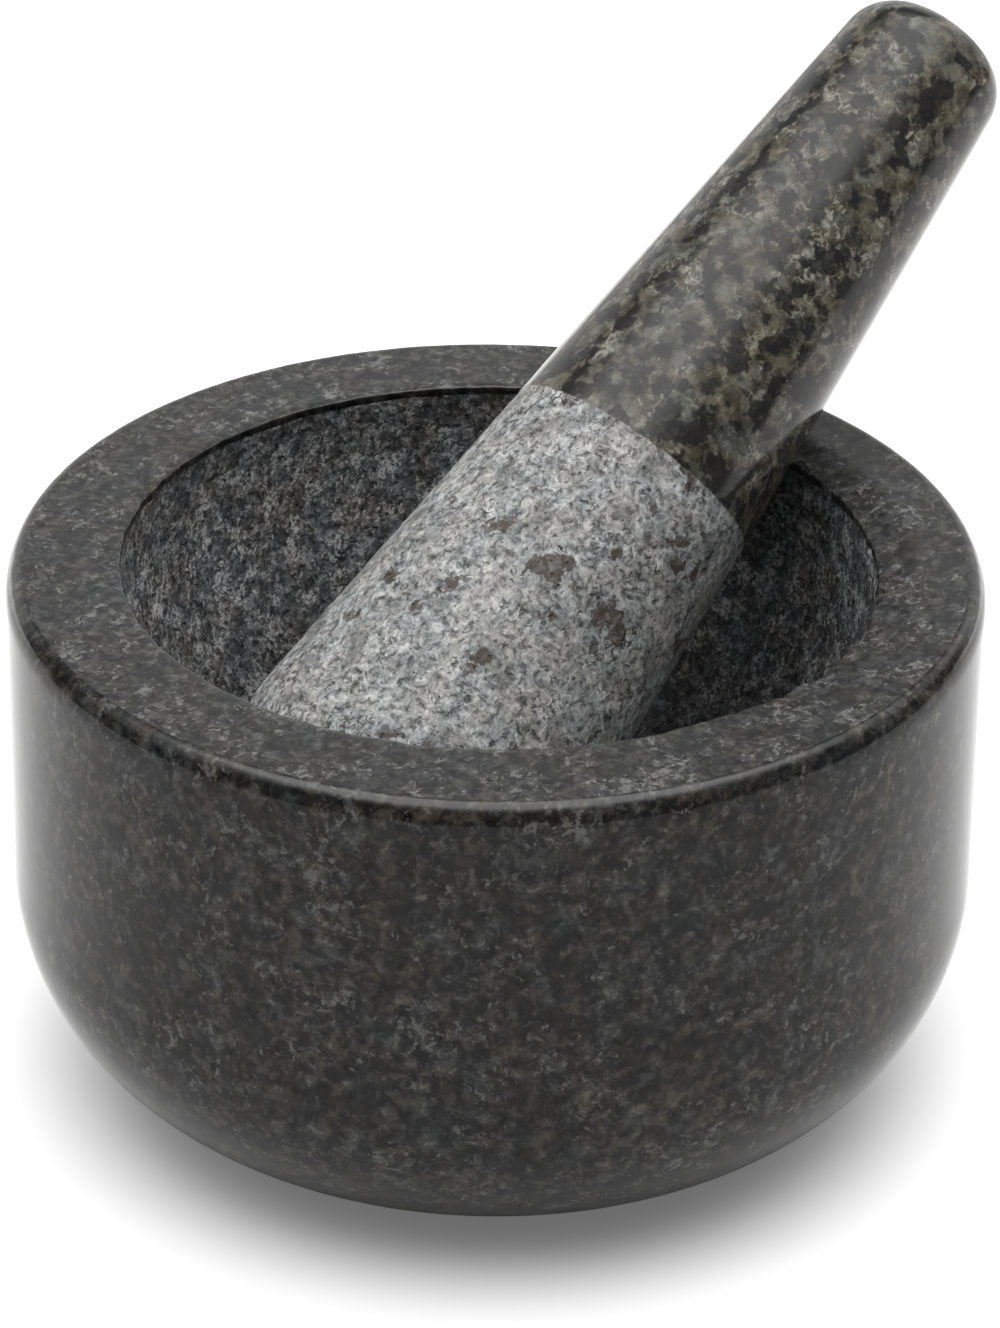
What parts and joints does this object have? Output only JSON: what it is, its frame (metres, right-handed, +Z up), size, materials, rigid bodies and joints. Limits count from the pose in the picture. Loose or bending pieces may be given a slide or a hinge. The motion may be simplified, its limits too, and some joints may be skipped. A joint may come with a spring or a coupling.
{
  "type": "molcajete",
  "caption": "Granite mortar and pestle: a straight-sided stone bowl with a rounded base and a wide flat rim, and a tapered stone pestle leaning in it.",
  "frame": {"origin": "centre of the flat base that the mortar stands on", "axes": "+Z up along the mortar's axis; at rest the pestle leans towards +X, in the plane Y = 0"},
  "size_m": [0.1803, 0.15, 0.1515],
  "materials": {
    "mortar_granite": "polished",
    "pestle_granite": "satin"
  },
  "bodies": {
    "mortar": {"mortar": "mortar_granite"},
    "pestle": {"pestle": "pestle_granite"}
  },
  "joints": [
    {"name": "pestle_lift", "type": "slide", "parent": "mortar", "child": "pestle", "axis": [0, 0, 1], "range_m": [0, 0.08]}
  ]
}
